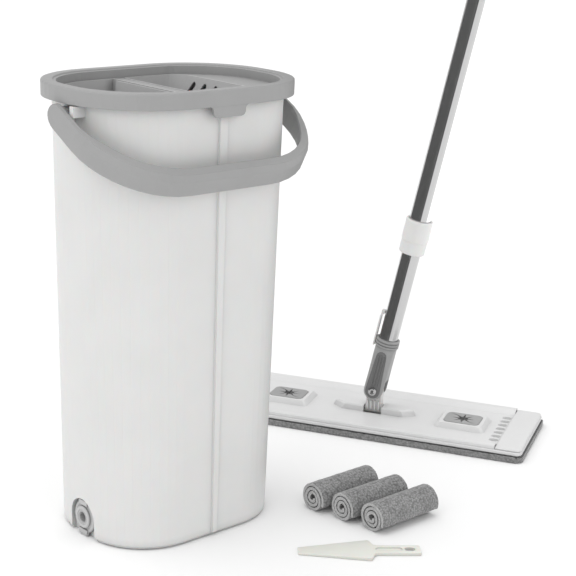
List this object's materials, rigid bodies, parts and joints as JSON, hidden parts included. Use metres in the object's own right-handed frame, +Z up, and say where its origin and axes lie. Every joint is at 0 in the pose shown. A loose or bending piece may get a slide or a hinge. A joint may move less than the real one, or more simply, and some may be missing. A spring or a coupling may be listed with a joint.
{
  "type": "flat mop and bucket with wringer",
  "caption": "Flat mop with a telescopic pole beside a tall self-wringing bucket with a bail, lift-out wash and wring wells and a drain plug; with rolled cloths and a scraper.",
  "frame": {"origin": "middle of the bucket's flat base, on the floor", "axes": "+Z up; +X along the bucket's broad side towards the mop, the drain is on the -X end; -Y is the bucket's front with the rib, the snap tab and the hanging bail"},
  "size_m": [0.5747, 0.4462, 0.9432],
  "materials": {
    "ivory_polypropylene": "fine satin moulding",
    "grey_polypropylene": "satin moulding",
    "light_grey_polypropylene": "satin moulding",
    "white_abs": "semi-gloss moulding",
    "white_polypropylene": "satin moulding",
    "dark_grey_rubber": "matte",
    "stainless_steel": "polished tube",
    "grey_microfibre": "looped pile",
    "ivory_scraper": "satin moulding"
  },
  "bodies": {
    "bucket": {"bucket_shell": "ivory_polypropylene", "drain_spout": "light_grey_polypropylene", "drain_nut": "light_grey_polypropylene", "drain_seal": "dark_grey_rubber"},
    "plug": {"drain_plug": "grey_polypropylene"},
    "wringer": {"rim_frame": "grey_polypropylene", "wash_well": "grey_polypropylene", "wash_panel": "light_grey_polypropylene", "wring_well": "grey_polypropylene", "wring_lip_left": "dark_grey_rubber", "wring_lip_right": "dark_grey_rubber"},
    "bail": {"bail_handle": "grey_polypropylene"},
    "pad": {"mop_pad": "grey_microfibre"},
    "head": {"mop_plate": "white_abs", "end_cap_left": "white_abs", "end_cap_right": "white_abs", "pad_grip_left": "grey_polypropylene", "pad_grip_right": "grey_polypropylene", "knuckle_axle": "stainless_steel"},
    "knuckle_block": {"knuckle": "white_polypropylene"},
    "neck": {"neck_fork": "grey_polypropylene", "neck_inlay_front": "dark_grey_rubber", "neck_inlay_back": "dark_grey_rubber", "neck_pin": "stainless_steel", "latch_clip": "white_polypropylene", "lower_tube": "stainless_steel"},
    "upper_pole": {"upper_tube": "stainless_steel", "hand_grip": "grey_polypropylene", "hanger_cap": "grey_polypropylene"},
    "collar": {"lock_collar": "white_polypropylene", "lock_collet": "grey_polypropylene"},
    "roll_1": {"cloth_roll_1": "grey_microfibre"},
    "roll_2": {"cloth_roll_2": "grey_microfibre"},
    "roll_3": {"cloth_roll_3": "grey_microfibre"},
    "scraper_tool": {"scraper": "ivory_scraper"}
  },
  "joints": [
    {"name": "plug_pull", "type": "slide", "parent": "bucket", "child": "plug", "axis": [-1, 0, 0], "range_m": [0, 0.035]},
    {"name": "wringer_lift", "type": "slide", "parent": "bucket", "child": "wringer", "axis": [0, 0, 1], "range_m": [0, 0.25]},
    {"name": "bail_swing", "type": "hinge", "parent": "bucket", "child": "bail", "pos_m": [0, 0, 0.375], "axis": [-1, 0, 0], "range_deg": [0, 150]},
    {"name": "mop_lift", "type": "slide", "parent": "bucket", "child": "pad", "axis": [0, 0, 1], "range_m": [0, 0.45]},
    {"name": "pad_peel", "type": "slide", "parent": "pad", "child": "head", "axis": [0, 0, 1], "range_m": [0, 0.06]},
    {"name": "knuckle_tilt", "type": "hinge", "parent": "head", "child": "knuckle_block", "pos_m": [0.321, 0.051, 0.0135], "axis": [0.4848, -0.8746, 0], "range_deg": [-45, 45]},
    {"name": "neck_swing", "type": "hinge", "parent": "knuckle_block", "child": "neck", "pos_m": [0.321, 0.051, 0.036], "axis": [0.8746, 0.4848, 0], "range_deg": [-99, 76]},
    {"name": "pole_extend", "type": "slide", "parent": "neck", "child": "upper_pole", "axis": [0.0967, -0.1744, 0.9799], "range_m": [-0.065, 0.33]},
    {"name": "collar_twist", "type": "hinge", "parent": "upper_pole", "child": "collar", "pos_m": [0.33811, 0.02014, 0.20945], "axis": [0.0967, -0.1744, 0.9799], "range_deg": [0, 90]},
    {"name": "roll_1_lift", "type": "slide", "parent": "bucket", "child": "roll_1", "axis": [0, 0, 1], "range_m": [0, 0.2]},
    {"name": "roll_2_lift", "type": "slide", "parent": "bucket", "child": "roll_2", "axis": [0, 0, 1], "range_m": [0, 0.2]},
    {"name": "roll_3_lift", "type": "slide", "parent": "bucket", "child": "roll_3", "axis": [0, 0, 1], "range_m": [0, 0.2]},
    {"name": "scraper_lift", "type": "slide", "parent": "bucket", "child": "scraper_tool", "axis": [0, 0, 1], "range_m": [0, 0.2]}
  ]
}
